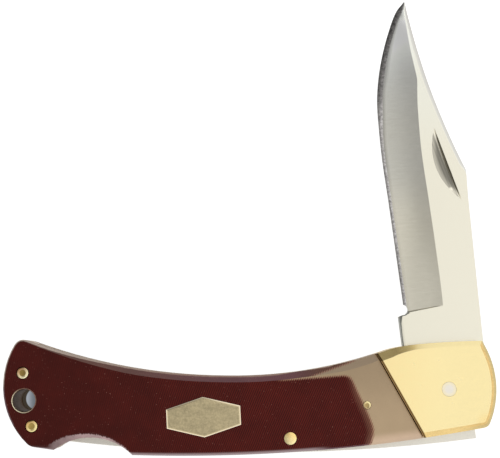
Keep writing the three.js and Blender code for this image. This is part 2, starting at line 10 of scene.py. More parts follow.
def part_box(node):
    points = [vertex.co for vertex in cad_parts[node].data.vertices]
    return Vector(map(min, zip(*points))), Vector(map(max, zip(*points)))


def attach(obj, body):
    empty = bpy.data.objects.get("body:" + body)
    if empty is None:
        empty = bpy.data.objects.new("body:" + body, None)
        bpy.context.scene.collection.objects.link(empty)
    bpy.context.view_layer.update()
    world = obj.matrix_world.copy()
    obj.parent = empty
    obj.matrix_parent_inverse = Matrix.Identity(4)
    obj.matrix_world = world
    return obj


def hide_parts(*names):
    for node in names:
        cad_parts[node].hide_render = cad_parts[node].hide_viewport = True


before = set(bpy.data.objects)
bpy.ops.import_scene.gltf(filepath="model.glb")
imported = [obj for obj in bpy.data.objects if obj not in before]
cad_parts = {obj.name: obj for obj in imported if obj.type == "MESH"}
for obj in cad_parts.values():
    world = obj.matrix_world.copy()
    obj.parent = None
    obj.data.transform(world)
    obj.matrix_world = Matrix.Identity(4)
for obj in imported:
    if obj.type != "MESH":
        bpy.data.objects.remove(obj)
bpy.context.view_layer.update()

MM = 0.001

# The blade's own axes: x from the pivot to the tip, y from the spine side to the edge
blade_turn = math.radians(94.5)
blade_plane = 7 * MM
tang_drop = 11.33
spine_drop = 11.25
spine_swell = 0.17
swell_run = 9
drop_run = 6
edge_drop = 10.85
blade_reach = 105.65
tip_rise = 0.5
tip_thinning = 16
tip_blunting = 0.15
clip_length = 47.75
clip_radius = 193
blade_half = 1.5
swedge_width = 1.2
swedge_width_tip = 1.45
swedge_widening = 72
swedge_share = 0.62
swedge_slope = 0.7
swedge_lead = 1.8
swedge_run_in = 3
spine_chamfer = 0.16
tang_chamfer = 0.24
kick_chamfer = 1.07
kick_lead = 2.8
kick_run = 4.2
chamfer_depth = 0.25
edge_width_heel = 0.85
edge_width_tip = 1.5
edge_widening = 0.52
edge_share = 0.6
edge_shoulder_half = 0.28
tip_half_share = 0.12
least_share = 0.12
cutting_half = 0.025
hollowness = 0.37
tang_join = 9.2
plunge_start = 21.7
plunge_lean = 1.1
lean_top = -1.5
lean_height = 9.3
plunge_fillet = 0.35
kick_corner = (19.73, 10.25)
choil_side = (20.5, 8)
choil_place = (21.45, 9.05)
choil_radius = 1.4
nick_rear = Vector((49.5, -9.4))
nick_tip = Vector((69.7, -3.95))
nick_chord = nick_tip - nick_rear
nick_bulge = 3.4
nick_depth = 0.9

# Cutting edge: share of the ground length, and share of the edge's greatest drop
edge_stops = [
    (-0.14, 0.745), (0.1, 0.834), (0.34, 0.922), (0.48, 0.98), (0.575, 0.99), (0.67, 0.972),
    (0.75, 0.879), (0.829, 0.719), (0.907, 0.498), (0.967, 0.276), (1, tip_rise / edge_drop),
]

# Where the hollow grind meets the flat: share of the ground length, and height
grind_stops = [
    (-0.26, -0.9), (0, -1.6), (0.177, -1.22), (0.339, -0.6), (0.5, 0.05), (0.64, -0.1),
    (0.7, -0.45), (0.735, -0.68), (0.77, -0.34), (0.832, 0.3), (0.916, 0.82), (0.96, 1.02), (1, 1.2),
]

# Camera, as it stood over the knife
camera_place = Vector((-54.3, 5.9, 302)) * MM
camera_aim = Vector((-51.15, 42.3, 7)) * MM
camera_lens = 80


# Selecting and shaping

def deselect():
    bpy.ops.object.select_all(action="DESELECT")


def activate(piece):
    deselect()
    piece.select_set(True)
    bpy.context.view_layer.objects.active = piece


def edit(piece, *steps):
    """Runs the steps in edit mode with the whole piece selected."""
    activate(piece)
    bpy.ops.object.mode_set(mode="EDIT")
    bpy.ops.mesh.select_all(action="SELECT")
    for step in steps:
        step()
    bpy.ops.object.mode_set(mode="OBJECT")


def weld():
    bpy.ops.mesh.remove_doubles(threshold=0.002 * MM)


def face_outwards():
    bpy.ops.mesh.normals_make_consistent(inside=False)


def join_flat_faces():
    bpy.ops.mesh.dissolve_limited(angle_limit=math.radians(0.4))


def apply_modifier(piece, kind, **settings):
    activate(piece)
    modifier = piece.modifiers.new(kind, kind)
    for name, value in settings.items():
        setattr(modifier, name, value)
    bpy.ops.object.modifier_apply(modifier=modifier.name)


def round_edges(piece, width_mm, keep_sharp):
    """Rounds the sharp edges, apart from those whose middles keep_sharp picks."""
    mesh = piece.data
    sharp_angle = math.radians(25)
    faces_at = {}
    for face in mesh.polygons:
        for key in face.edge_keys:
            faces_at.setdefault(key, []).append(face.normal)
    weights = mesh.attributes.new("bevel_weight_edge", "FLOAT", "EDGE")
    for edge in mesh.edges:
        normals = faces_at[edge.key]
        middle = (mesh.vertices[edge.vertices[0]].co + mesh.vertices[edge.vertices[1]].co) / 2
        kept = keep_sharp and keep_sharp(middle)
        sharp = len(normals) == 2 and normals[0].angle(normals[1], 0) > sharp_angle
        weights.data[edge.index].value = 1 if sharp and not kept else 0
    apply_modifier(
        piece, "BEVEL", width=width_mm * MM, segments=2, limit_method="WEIGHT",
        harden_normals=False, miter_outer="MITER_ARC")


def smooth(piece, angle):
    activate(piece)
    bpy.ops.object.shade_smooth_by_angle(angle=math.radians(angle))


def boolean(piece, other, operation):
    apply_modifier(piece, "BOOLEAN", object=other, operation=operation, solver="EXACT")
    bpy.data.objects.remove(other)


def new_piece(name):
    piece = bpy.context.object
    piece.name = name
    piece.data.name = name
    return piece


def node_copy(node, name):
    """A welded copy of a CAD node, with its flat faces joined."""
    deselect()
    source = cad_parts[node]
    piece = bpy.data.objects.new(name, source.data.copy())
    bpy.context.collection.objects.link(piece)
    piece.data.name = name
    piece.data.materials.clear()
    edit(piece, weld, join_flat_faces)
    return piece


def dress(piece, body, slot, materials, *nodes):
    """Gives a finished piece its materials and its body, and hides the CAD nodes that it stands for."""
    for material in materials:
        piece.data.materials.append(material)
    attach(piece, body)
    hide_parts(*nodes)


def centre_of(node):
    low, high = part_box(node)
    return (Vector(low) + Vector(high)) / 2


def round_size(node):
    """The bottom, the top and the radius of an upright round piece."""
    low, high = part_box(node)
    return low[2], high[2], (high[0] - low[0]) / 2


# Building materials

def is_socket(value):
    return isinstance(value, bpy.types.NodeSocket)


def feed(node, inputs):
    """Sets a node's inputs, each to a plain value or linked from a socket."""
    for name, value in inputs.items():
        if is_socket(value):
            node.id_data.links.new(value, node.inputs[name])
        else:
            node.inputs[name].default_value = value


def put(kind, inputs, **settings):
    """Adds a shader node to the tree that its inputs come from; one of them has to be a socket."""
    tree = next(value.id_data for value in inputs.values() if is_socket(value))
    made = tree.nodes.new("ShaderNode" + kind)
    for name, value in settings.items():
        setattr(made, name, value)
    feed(made, inputs)
    return made


def calc(operation, *values):
    return put("Math", dict(enumerate(values)), operation=operation).outputs[0]


def plus(*terms):
    return reduce(lambda first, second: calc("ADD", first, second), terms)


def minus(value, less):
    return calc("SUBTRACT", value, less)


def times(*factors):
    return reduce(lambda first, second: calc("MULTIPLY", first, second), factors)


def scaled(value, factor, shift):
    return calc("MULTIPLY_ADD", value, factor, shift)


def varied(value, contrast, level=1):
    """A value that varies about 0.5, made to vary about a level."""
    return scaled(minus(value, 0.5), contrast, level)


def between(value, low, high, to_low=0, to_high=1):
    """A number that goes softly from to_low to to_high as the value goes from low to high."""
    inputs = {"Value": value, "From Min": low, "From Max": high, "To Min": to_low, "To Max": to_high}
    return put("MapRange", inputs, interpolation_type="SMOOTHSTEP").outputs[0]


def stepped(value, start, *steps):
    """A number that changes softly along the value; each step is (low, high, change)."""
    changes = [between(value, low, high, 0, change) for low, high, change in steps]
    return plus(*changes, start)


def mix_colours(share, first, second):
    inputs = {0: share, 6: first, 7: second}
    return put("Mix", inputs, data_type="RGBA").outputs[2]


def fade(value, low, high, first, second):
    """A colour that goes softly from first to second as the value goes from low to high."""
    return mix_colours(between(value, low, high), first, second)


def noise(position, scale, detail=2, roughness=0.5):
    """Cloudy noise about 0.5; the scale is roughly its lumps in a millimetre."""
    inputs = {"Vector": position, "Scale": scale, "Detail": detail, "Roughness": roughness}
    return put("TexNoise", inputs).outputs["Fac"]


def colour(red, green, blue):
    """A colour given as it shows on screen, 0 to 255, in the linear values that shaders use."""
    def linear(value):
        share = value / 255
        return share / 12.92 if share <= 0.04045 else ((share + 0.055) / 1.055) ** 2.4
    return (linear(red), linear(green), linear(blue), 1)


def effect_group(name, numbers, build):
    """A shader node group; build gets its position and numbers, and returns its outputs by name."""
    tree = bpy.data.node_groups.new(name, "ShaderNodeTree")
    tree.interface.new_socket("Position", in_out="INPUT", socket_type="NodeSocketVector")
    for number in numbers:
        tree.interface.new_socket(number, in_out="INPUT", socket_type="NodeSocketFloat")
    entry = tree.nodes.new("NodeGroupInput")
    results = build(*[entry.outputs[socket] for socket in ("Position", *numbers)])
    for socket in results:
        tree.interface.new_socket(socket, in_out="OUTPUT", socket_type="NodeSocketFloat")
    feed(tree.nodes.new("NodeGroupOutput"), results)
    return tree


def use(group, inputs):
    return put("Group", inputs, node_tree=group).outputs


def axes(position):
    return put("SeparateXYZ", {"Vector": position}).outputs


def stretched(position, scale):
    return put("VectorMath", {0: position, 1: scale}, operation="MULTIPLY").outputs[0]


def turned_by(position, angle):
    return put("Mapping", {"Vector": position, "Rotation": (0, 0, angle)}).outputs[0]


def distance_to(position, x, y):
    """Distance from an upright line through a place, in millimetres."""
    spot = {0: stretched(position, (1, 1, 0)), 1: (x, y, 0)}
    return put("VectorMath", spot, operation="DISTANCE").outputs["Value"]


def from_middle(height):
    """Height above or below the knife's middle plane, in millimetres."""
    return calc("ABSOLUTE", minus(height, blade_plane / MM))


def brushed_lines(position, contrast):
    """Fine lines along the first axis of the position, as a grinding belt leaves them."""
    fine = stretched(position, (0.03, 7, 7))
    coarse = stretched(position, (0.01, 2.2, 2.2))
    strands = noise(fine, 1, detail=3, roughness=0.7)
    bands = noise(coarse, 1)
    lines = plus(times(strands, 0.6), times(bands, 0.4))
    return {"Tone": varied(lines, contrast), "Height": lines}


def handled_metal(position, patches, scratches, roughness):
    """Soft cloudy patches, fine grain and a few hairline scratches, from use and polishing."""
    clouds = noise(position, 0.5, detail=5, roughness=0.65)
    grain = noise(position, 5)
    slanting = put("Mapping", {"Vector": position, "Rotation": (0, 0, 0.6), "Scale": (0.08, 4, 4)})
    hair = between(noise(slanting.outputs[0], 1, detail=1), 0.68, 0.74)
    roughness = varied(clouds, patches, roughness)
    mottle = plus(minus(clouds, 0.5), minus(noise(position, 2.2), 0.5))
    tone = scaled(mottle, patches, 1)
    height = minus(times(grain, 0.3), times(hair, scratches))
    return {"Roughness": roughness, "Tone": tone, "Height": height}


def cloth_weave(position):
    """Threads that cross on the slant, one way stronger, with pressed layers and pale fibres."""
    x, y, _ = axes(position)
    slant = between(x, -110, -40, -0.2, -0.43)
    across = scaled(y, slant, x)
    wobble = noise(position, 0.25)
    warp = calc("SINE", scaled(wobble, 3, times(across, 11.1)))
    weft = calc("SINE", times(scaled(x, 0.4, y), 10.4))
    crossed = scaled(times(warp, weft), 0.15, 0.5)
    layers = noise(stretched(position, (0.25, 0.25, 6)), 1)
    specks = between(noise(position, 3.2, detail=1), 0.73, 0.78)
    return {"Threads": scaled(warp, 0.35, crossed), "Layers": layers, "Specks": specks}


brushed = effect_group("brushed_lines", ["Contrast"], brushed_lines)
handled = effect_group("handled_metal", ["Patches", "Scratches", "Roughness"], handled_metal)
weave = effect_group("cloth_weave", [], cloth_weave)


def new_material(name):
    """An empty material with its shader, and the object's position in millimetres."""
    material = bpy.data.materials.new(name)
    material.use_nodes = True
    nodes = material.node_tree.nodes
    place = nodes.new("ShaderNodeTexCoord").outputs["Object"]
    position = put("VectorMath", {0: place, "Scale": 1 / MM}, operation="SCALE").outputs[0]
    return material, nodes["Principled BSDF"], position


def tinted(base, tone):
    """The base colour, plain or from a socket, lighter or darker by the tone."""
    source = base if is_socket(base) else base[:3]
    return put("VectorMath", {0: source, "Scale": tone}, operation="SCALE").outputs[0]


def bump(height, depth_mm):
    return put("Bump", {"Height": height, "Strength": 1, "Distance": depth_mm * MM}).outputs[0]


def metal(name, base, roughness, patches=0.1, line_contrast=0, line_turn=0, bump_mm=0.004,
          scratches=0.3, shade=None):
    """A metal with handled patches, and brushed lines turned by line_turn from the x axis.

    The base is a colour, or a function of the position that paints one; shade is a function of the
    position that gives a further tone of painted light and shade.
    """
    material, shader, position = new_material(name)
    wear = use(handled, {
        "Position": position, "Patches": patches, "Scratches": scratches, "Roughness": roughness})
    along_lines = turned_by(position, -line_turn)
    lines = use(brushed, {"Position": along_lines, "Contrast": line_contrast})
    tone = times(wear["Tone"], lines["Tone"])
    if shade:
        tone = times(tone, shade(position))
    if callable(base):
        base = base(position)
    height = plus(wear["Height"], times(lines["Height"], line_contrast * 1.5))
    feed(shader, {
        "Base Color": tinted(base, tone), "Metallic": 1, "Roughness": wear["Roughness"],
        "Normal": bump(height, bump_mm)})
    return material


def blade_axes(position):
    """Distance along the blade, across it towards the edge, and out from its middle plane."""
    along, across, height = axes(turned_by(position, -blade_turn))
    return along, across, from_middle(height)


def flat_colour(position):
    """The flats, whiter towards the tip."""
    along, _, _ = blade_axes(position)
    middle = fade(along, 58, 82, colour(237, 233, 216), colour(238, 237, 224))
    return fade(along, 82, 96, middle, colour(243, 244, 236))


def flat_shade(position):
    """Painted shade: the tang's flat darkens softly along its lower side, as if it rolled off there."""
    along, across, _ = blade_axes(position)
    from_side = scaled(along, -0.038, across)
    roll_off_shade = between(from_side, 8.5, 9.35, 0, -0.2)
    on_tang = between(along, 19.6, 20.4, 1, 0)
    return scaled(roll_off_shade, on_tang, 1)


def hollow_colour(position):
    """The hollow, warm at the heel and cooler towards the tip."""
    along, _, _ = blade_axes(position)
    cooler = stepped(along, 0, (42, 62, 0.5), (68, 92, 0.5))
    return mix_colours(cooler, colour(237, 232, 215), colour(222, 223, 219))


def hollow_shade(position):
    """Painted light and shade on the hollow: it dims over the middle of the blade and brightens to the tip.

    Over the middle it is darkest along the flat, and a soft dark line follows the edge bevel.
    """
    along, across, out = blade_axes(position)
    level = stepped(along, 1.01, (22, 46, -0.07), (46, 58, -0.05), (72, 84, 0.04), (82, 97, 0.58))
    slope = times(between(along, 26, 46, -0.1, 0.15), between(along, 50, 66, 1, 0.5))
    sideways = scaled(slope, between(across, 0.8, 6.5, -0.5, 0.5), 1)
    at_tip = between(along, 99.5, 103.5, 1, 0.5)
    line = stepped(along, 0.88, (50, 64, -0.22), (78, 90, -0.1))
    line_reach = between(along, 80, 88, 0.37, 0.44)
    beside_edge = between(out, edge_shoulder_half, line_reach, line, 1)
    return times(level, sideways, at_tip, beside_edge)


def edge_shade(position):
    """Painted shade on the edge bevel: darker to its outer side and where it curves up to the tip, with
    coarse grit.
    """
    along, _, out = blade_axes(position)
    level = stepped(along, 1.25, (22, 27, -0.25), (27, 44, 0.1), (70, 84, -0.66), (84, 100, -0.16))
    outer = between(out, cutting_half, edge_shoulder_half, 0.4, 1)
    grain = noise(position, 1.5, roughness=0.7)
    grit = calc("MAXIMUM", scaled(grain, 2.4, -0.2), 0.35)
    return times(level, outer, grit)


def swedge_shaded_colour(position):
    """Painted shade on the swedge: greyer than the flat, and most of all on its outer side."""
    _, _, out = blade_axes(position)
    outer = fade(out, 0.6, 1.1, colour(203, 201, 196), colour(216, 215, 208))
    return fade(out, 1.2, 1.47, outer, colour(236, 233, 220))


def nick_place():
    """Where the nick's straight wall starts in the rest pose, and how it is turned."""
    start = Matrix.Rotation(blade_turn, 2) @ nick_rear
    return start, blade_turn + math.atan2(nick_chord.y, nick_chord.x)


def nick_shade(position):
    """Painted reflection in the nick: darkest beside its steep wall and lightest along its round side.

    A painted highlight streak runs beside the wall near the front end, and a painted highlight spot sits
    near the rear end.
    """
    start, turn = nick_place()
    own = put(
        "Mapping", {"Vector": position, "Location": (*start, 0), "Rotation": (0, 0, turn)},
        vector_type="TEXTURE").outputs[0]
    along, depth, _ = axes(own)
    half = nick_chord.length / 2
    reach = (half ** 2 + nick_bulge ** 2) / (2 * nick_bulge)
    from_round_side = minus(reach, distance_to(own, half, nick_bulge - reach))
    scoop = between(from_round_side, 0.4, 1.6, 0.54, 0.25)
    highlight_streak = times(
        between(depth, 0.4, 0.6), between(depth, 0.65, 0.95, 1, 0),
        between(along, 6, 16, 0, 0.3))
    at_wall = between(depth, 0.4, 0.75, 1.7, 1)
    grinding = scaled(noise(stretched(own, (0.05, 4.2, 1)), 1, detail=3), 1.1, 0.45)
    tone = times(plus(scoop, highlight_streak), at_wall, grinding)
    lit_end = between(distance_to(own, 2.6, 2.2), 0.7, 2, 0.35, 0)
    spot = between(distance_to(own, 3.7, 1.65), 0.2, 0.7, 0.4, 0)
    return plus(tone, lit_end, spot)


def past_border(position, lines):
    """How far a place lies to the left of the lines, in millimetres; below zero to the right of all.

    Each line is its start, its end and how softly it turns into the line before it.
    """
    x, y, _ = axes(position)
    furthest = None
    for start, end, rounding in lines:
        along = (Vector(end) - Vector(start)).normalized()
        offset = along.y * start[0] - along.x * start[1]
        past = scaled(y, along.x, scaled(x, -along.y, offset))
        furthest = past if furthest is None else calc("SMOOTH_MAX", furthest, past, rounding)
    return furthest


joint_line = ((-18.5, 8.8), (-6.8, -12.2))
bottom_line = ((-30, -15.25), (-6.7, -12.35), 0)
pale_low = colour(204, 177, 151)
notch_middle = (-93.4, -27.85)
notch_reach = 16.75
belly_middle = (-69, 415.2)
belly_reach = 432


def from_joint(position):
    """Distance from the slanting joint, positive on the bolster's side."""
    return past_border(position, [(*joint_line, 0)])


def pale_layer(position, base, low_base, tone):
    """The pale layer, dimmer towards the top and lighter along the bottom."""
    dimmer = times(tone, between(axes(position)[1], -9, 9, 1, 0.76))
    from_bottom = past_border(position, [bottom_line])
    return tinted(fade(from_bottom, 0.6, 3, low_base, base), dimmer)


def sanded_notch(position, body):
    """The thumb notch is sanded through the dark layer, up to a fibrous border."""
    x = axes(position)[0]
    fibres = noise(stretched(position, (2.4, 0.5, 0.5)), 1, roughness=0.6)
    reach = distance_to(position, *notch_middle)
    border = scaled(fibres, 1.3, minus(reach, notch_reach + 0.5))
    share = times(between(border, -0.18, 0.18, 1, 0), between(x, -103.4, -100.8))
    clouds = scaled(noise(position, 0.5, detail=3), 0.8, 0.6)
    tone = times(clouds, between(x, -101, -93, 0.62, 1.18))
    return mix_colours(share, body, tinted(colour(163, 138, 138), tone))


def far_strip(position, body):
    """Along the top edge the bevel's outer side shows a pale layer, wider towards the butt."""
    x, y, z = axes(position)
    limit = stepped(x, 6.84, (-108, -80, -0.84), (-45, -38, -0.3), (-31, -27, -0.8))
    wavy = scaled(noise(position, 1.2), 0.12, limit)
    outer = minus(wavy, from_middle(z))
    share = times(between(outer, -0.05, 0.1), between(y, 0, 2))
    pale = fade(x, -108, -60, colour(172, 156, 144), colour(146, 120, 108))
    return mix_colours(share, body, pale)


def belly_sheen(position, body):
    """A painted sheen along the belly's outer corner."""
    x, _, z = axes(position)
    reach = distance_to(position, *belly_middle)
    share = times(
        between(reach, belly_reach - 0.95, belly_reach - 0.2),
        between(x, -36, -30, 1, 0), between(from_middle(z), 5.2, 6.3))
    return mix_colours(share, body, colour(158, 140, 142))


def scale_joint_shadow(position, body):
    """Painted shadow on the scale's side of the joint: brown, lighter on the very edge."""
    distance = from_joint(position)
    body = mix_colours(between(distance, -0.5, -0.25, 0, 0.55), body, colour(112, 84, 50))
    return fade(distance, -0.3, -0.12, body, colour(190, 158, 116))


def pale_share(position, cloth, border):
    """Where the pale layer shows: all past its ragged border, and faintly a little before it."""
    x = axes(position)[0]
    rough = noise(position, 1.6, detail=4, roughness=0.65)
    ragged = plus(scaled(rough, 0.4, -0.2), scaled(cloth["Threads"], 0.5, -0.25))
    depth = plus(past_border(position, border), ragged)
    faint = times(between(depth, -2.4, -0.4, 0, 0.12), between(x, -27, -23.5))
    blurred = between(x, -27, -23.5, -0.35, -0.8)
    share = calc("MAXIMUM", faint, between(depth, blurred, 0.3))
    return times(share, between(x, -45, -41))


def cloth_tone(position, cloth):
    """Soft clouds and pressed layers in the cloth, darker towards the butt."""
    clouds = noise(position, 0.12, detail=3)
    lengthwise = between(axes(position)[0], -110, -35, 0.77, 1)
    return times(varied(clouds, 0.45, lengthwise), varied(cloth["Layers"], 0.5))


def micarta(name, dark, pale, border, roughness, contrast=1.6, specular=0.12, overlay=None):
    """Cloth laminate: a dark red layer over a pale one, which shows past the border by the bolster.

    The dark colour may be a function that paints one; contrast is that of the dark cloth's threads,
    and overlay paints over both layers.
    """
    material, shader, position = new_material(name)
    cloth = use(weave, {"Position": position})
    share = pale_share(position, cloth, border)
    tone = cloth_tone(position, cloth)
    contrast = between(axes(position)[0], -100, -50, 0.2 * contrast, contrast)
    if callable(dark):
        dark = dark(position)
    dark_cloth = tinted(dark, times(tone, varied(cloth["Threads"], contrast)))
    soft_tone = scaled(tone, 0.25, 0.75)
    body = mix_colours(share, dark_cloth, pale_layer(position, pale, pale_low, soft_tone))
    halfway = times(share, minus(1, share), 1.4)
    body = mix_colours(halfway, body, colour(150, 88, 72))
    # Over the layers go the overlay, the painted sheen along the belly, the sanded notch and the painted
    # shadow by the joint
    for paint_over in (overlay, belly_sheen, sanded_notch, scale_joint_shadow):
        if paint_over:
            body = paint_over(position, body)
    specked = times(cloth["Specks"], scaled(share, -0.5, 0.5))
    feed(shader, {
        "Base Color": mix_colours(specked, body, colour(172, 126, 112)), "Roughness": roughness,
        "Specular IOR Level": specular, "Normal": bump(cloth["Threads"], 0.006)})
    return material


def plum_sheen_colour(position):
    """The polished bevel's colour, which paints its sheen: browner near the bolster and near the butt."""
    x = axes(position)[0]
    middle = fade(x, -95, -55, colour(103, 69, 60), colour(99, 65, 69))
    return fade(x, -42, -32, middle, colour(94, 62, 50))


def joint_shadow_band(position, body):
    """Painted shadow along the joint: a brown band, lighter on the very edge."""
    distance = from_joint(position)
    body = fade(distance, 0.5, 0.8, colour(108, 82, 44), body)
    return fade(distance, 0.12, 0.3, colour(208, 172, 122), body)


def brass_colour(position):
    """The bolster's face: painted reflection on the upper bevel, painted shadow along the joint, warmer
    near the lower right corner, and deeper on the left to even out the light.
    """
    x, y, z = axes(position)
    upper = times(between(from_middle(z), 6.86, 6.97, 1, 0), between(y, 4, 6), between(x, -9.5, -7, 1, 0))
    face = fade(x, -15, 0, colour(255, 232, 172), colour(255, 237, 179))
    body = mix_colours(upper, face, colour(255, 226, 157))
    corner = between(distance_to(position, 9.4, -8.6), 0.8, 3.4, 0.75, 0)
    body = mix_colours(corner, body, colour(255, 228, 160))
    return joint_shadow_band(position, body)


def brass_shade(position):
    """Evens out the light over the bolster's face."""
    return between(axes(position)[0], -14, 8, 1.02, 0.965)


def bevel_brass_reflection_colour(position):
    """The bolster's bevel in painted reflections: pale along the bottom and duller to the outside round the
    end, with painted shadow along the joint.
    """
    x, y, z = axes(position)
    inner = between(from_middle(z), 6.2, 6.7)
    end = mix_colours(inner, colour(206, 186, 134), colour(229, 195, 129))
    at_end = times(between(x, 3, 6), between(y, -11, -9))
    body = mix_colours(at_end, colour(238, 207, 141), end)
    return joint_shadow_band(position, body)


def head_metal(name, node, dim, bright, dish, towards):
    """Brass for one pin's heads, with painted light: brighter on the side that towards points to; dish
    paints the middle.
    """
    centre = centre_of(node) / MM
    radius = round_size(node)[2] / MM
    side = Vector(towards).normalized()

    def paint(position):
        x, y, _ = axes(position)
        lit = scaled(y, side.y, scaled(x, side.x, -side.dot(centre.xy)))
        ring = fade(lit, -radius, radius, colour(*dim), colour(*bright))
        if dish is None:
            return ring
        outwards = distance_to(position, *centre.xy)
        return fade(outwards, 0.42 * radius, 0.6 * radius, colour(*dish), ring)

    return metal(name, paint, 0.22, patches=0.5)


eye_place = Vector((-109.08, -2.86))
eye_reach = 3.3


def eye_rim_painted_light(position):
    """Painted light on the eye's rim: bright at the lower left and pinkish brown at the upper right."""
    x, y, _ = axes(position)
    here = 0.8 * eye_place.x + 0.6 * eye_place.y
    rightwards = scaled(y, 0.6, scaled(x, 0.8, -here))
    return fade(rightwards, -2.4, 1.4, colour(255, 240, 205), colour(152, 114, 98))


def shield_bevel_highlight(position):
    """Painted highlight on the inlay's bevel: bright along its outer side only."""
    height = from_middle(axes(position)[2])
    return fade(height, 7.08, 7.15, colour(255, 238, 208), colour(210, 194, 156))


def pivot_colour(position):
    """The pivot's ground end, smeared with brass towards its rim."""
    rim = between(distance_to(position, 0, 0), 0.7, 1.85, 0, 0.8)
    return mix_colours(rim, colour(241, 235, 222), colour(252, 238, 196))


brass = metal("bolster_brass", brass_colour, 0.26, patches=0.08, line_contrast=0.03, shade=brass_shade)
brass_bevel = metal("bolster_brass_bevel", bevel_brass_reflection_colour, 0.22, patches=0.35, bump_mm=0.012)
rivet_brass = metal("rivet_brass", colour(255, 224, 156), 0.3, patches=0.3)
liner_brass = metal("liner_brass", colour(190, 168, 136), 0.42, patches=0.3, line_contrast=0.3)
tube_brass = metal("tube_brass", eye_rim_painted_light, 0.25, patches=0.3)
# The bore's darker colour paints the shade inside the eye, over a duller finish
shaded_bore_brass = metal("tube_bore", colour(150, 116, 82), 0.4, patches=0.4)
small_head = head_metal(
    "small_pin_head", "scale_pin_front", (186, 158, 120), (255, 236, 178), (180, 156, 104), (0.6, 0.8))
upper_head = head_metal(
    "upper_pin_head", "butt_pin_upper", (158, 116, 78), (255, 244, 200), (178, 150, 84), (0.6, -0.8))
lower_head = head_metal(
    "lower_pin_head", "butt_pin_lower", (196, 160, 100), (255, 238, 172), (214, 184, 104), (0.6, -0.8))
lockbar_head = head_metal(
    "lockbar_pin_head", "lockbar_pin", (255, 222, 148), (255, 236, 180), None, (-0.3, -1))
shield_face = metal(
    "shield_nickel_silver", colour(196, 181, 144), 0.38, patches=0.6, line_contrast=0.35,
    line_turn=math.radians(3), bump_mm=0.02)
shield_edge = metal("shield_polished_bevel", shield_bevel_highlight, 0.22)
pivot_steel = metal("pivot_steel", pivot_colour, 0.3, patches=0.08)
lockbar_steel = metal("lockbar_steel", colour(236, 232, 222), 0.4, patches=0.12, line_contrast=0.08)
spring_steel = metal("spring_steel", colour(170, 170, 170), 0.42, patches=0.15, line_contrast=0.2)
lengthways = blade_turn
crossways = blade_turn + math.pi / 2
flat_steel = metal(
    "blade_flat", flat_colour, 0.24, patches=0.03, line_contrast=0.04, line_turn=crossways,
    shade=flat_shade)
hollow_steel = metal(
    "blade_hollow", hollow_colour, 0.25, patches=0.03, line_contrast=0.28, line_turn=crossways,
    scratches=0, shade=hollow_shade)
edge_steel = metal(
    "blade_edge_bevel", colour(228, 224, 222), 0.38, patches=0.2, line_contrast=0.9, line_turn=crossways,
    bump_mm=0.012, shade=edge_shade)
swedge_steel = metal(
    "blade_swedge", swedge_shaded_colour, 0.3, patches=0.06, line_contrast=0.12, line_turn=lengthways)
# The blade's upright walls: a dull stamped finish, darker still as painted shade on them
stamped_steel = metal("blade_stamped_wall", colour(137, 138, 131), 0.42, patches=0.25, line_contrast=0.2)
nick_steel = metal("blade_nick", colour(238, 233, 216), 0.3, patches=0.05, scratches=0, shade=nick_shade)

# Borders of the pale layer, which lies on the left of each line: start, end and rounding
face_border = [
    ((-36.05, 2.81), (-25.4, 3.58), 0), ((-25.4, 3.58), (-19.89, -8.06), 2.4),
    ((-19.89, -8.06), (-19.28, -10.33), 0.8), ((-19.28, -10.33), (-19.7, -12.34), 1.2),
]
bevel_border = [((-24.13, 7.2), (-36.8, 2.73), 0), ((-24.9, 9.5), (-23.9, 6.94), 0.3)]
low_border = [((-19.63, -10.33), (-20.04, -12.34), 0)]
pale_on_bevel = colour(170, 149, 124)
burgundy = micarta("scale_micarta", colour(72, 17, 11), colour(176, 153, 123), face_border, 0.42)
# The scale's bevels: their plum colour paints their sheen
plum = micarta(
    "scale_bevel", plum_sheen_colour, pale_on_bevel, bevel_border, 0.36, contrast=0.15, specular=0.3,
    overlay=far_strip)
plum_low = micarta(
    "scale_low_bevel", colour(98, 64, 70), pale_on_bevel, low_border, 0.36, contrast=0.15, specular=0.3)


# Turned pieces

def turned(name, profile, centre, steps=64):
    """A body turned about a line along z; the closed profile gives radius and height in metres."""
    bpy.ops.mesh.primitive_circle_add(vertices=len(profile), fill_type="NOTHING")
    piece = new_piece(name)
    for vertex, (radius, height) in zip(piece.data.vertices, profile):
        vertex.co = (centre.x + radius, centre.y, height)

    def spin():
        bpy.ops.mesh.spin(steps=steps, angle=2 * math.pi, center=(centre.x, centre.y, 0), axis=(0, 0, 1))
        bpy.ops.mesh.select_all(action="SELECT")

    def clear_axis():
        bpy.ops.mesh.delete_loose()
        bpy.ops.mesh.select_all(action="SELECT")

    edit(piece, spin, weld, clear_axis, face_outwards)
    smooth(piece, 40)
    return piece


def rounded_profile(points, rounding):
    """Rounds each named corner of an open profile; a point is (radius, height, share of rounding)."""
    steps = 3
    done = []
    for i, (radius, height, share) in enumerate(points):
        here = Vector((radius, height))
        if not share:
            done.append(here)
            continue
        before = Vector(points[i - 1][:2]) - here
        after = Vector(points[(i + 1) % len(points)][:2]) - here
        reach = share * rounding
        start = here + before.normalized() * min(reach, before.length * 0.45)
        end = here + after.normalized() * min(reach, after.length * 0.45)
        for s in range(steps + 1):
            t = s / steps
            done.append(start.lerp(here, t).lerp(here.lerp(end, t), t))
    return done


def crowned_pin(name, node, material):
    """A pin with softly domed ends."""
    low, high, radius = round_size(node)
    rise = 0.1 * MM
    points = [
        (0, high, 0), (radius * 0.45, high - 0.15 * rise, 0), (radius * 0.8, high - 0.6 * rise, 0),
        (radius * 0.97, high - rise, 1), (radius, low + rise, 1), (radius * 0.8, low + 0.4 * rise, 0),
        (0, low, 0),
    ]
    piece = turned(name, rounded_profile(points, 0.05 * MM), centre_of(node))
    dress(piece, "handle", "brass", [material], node)


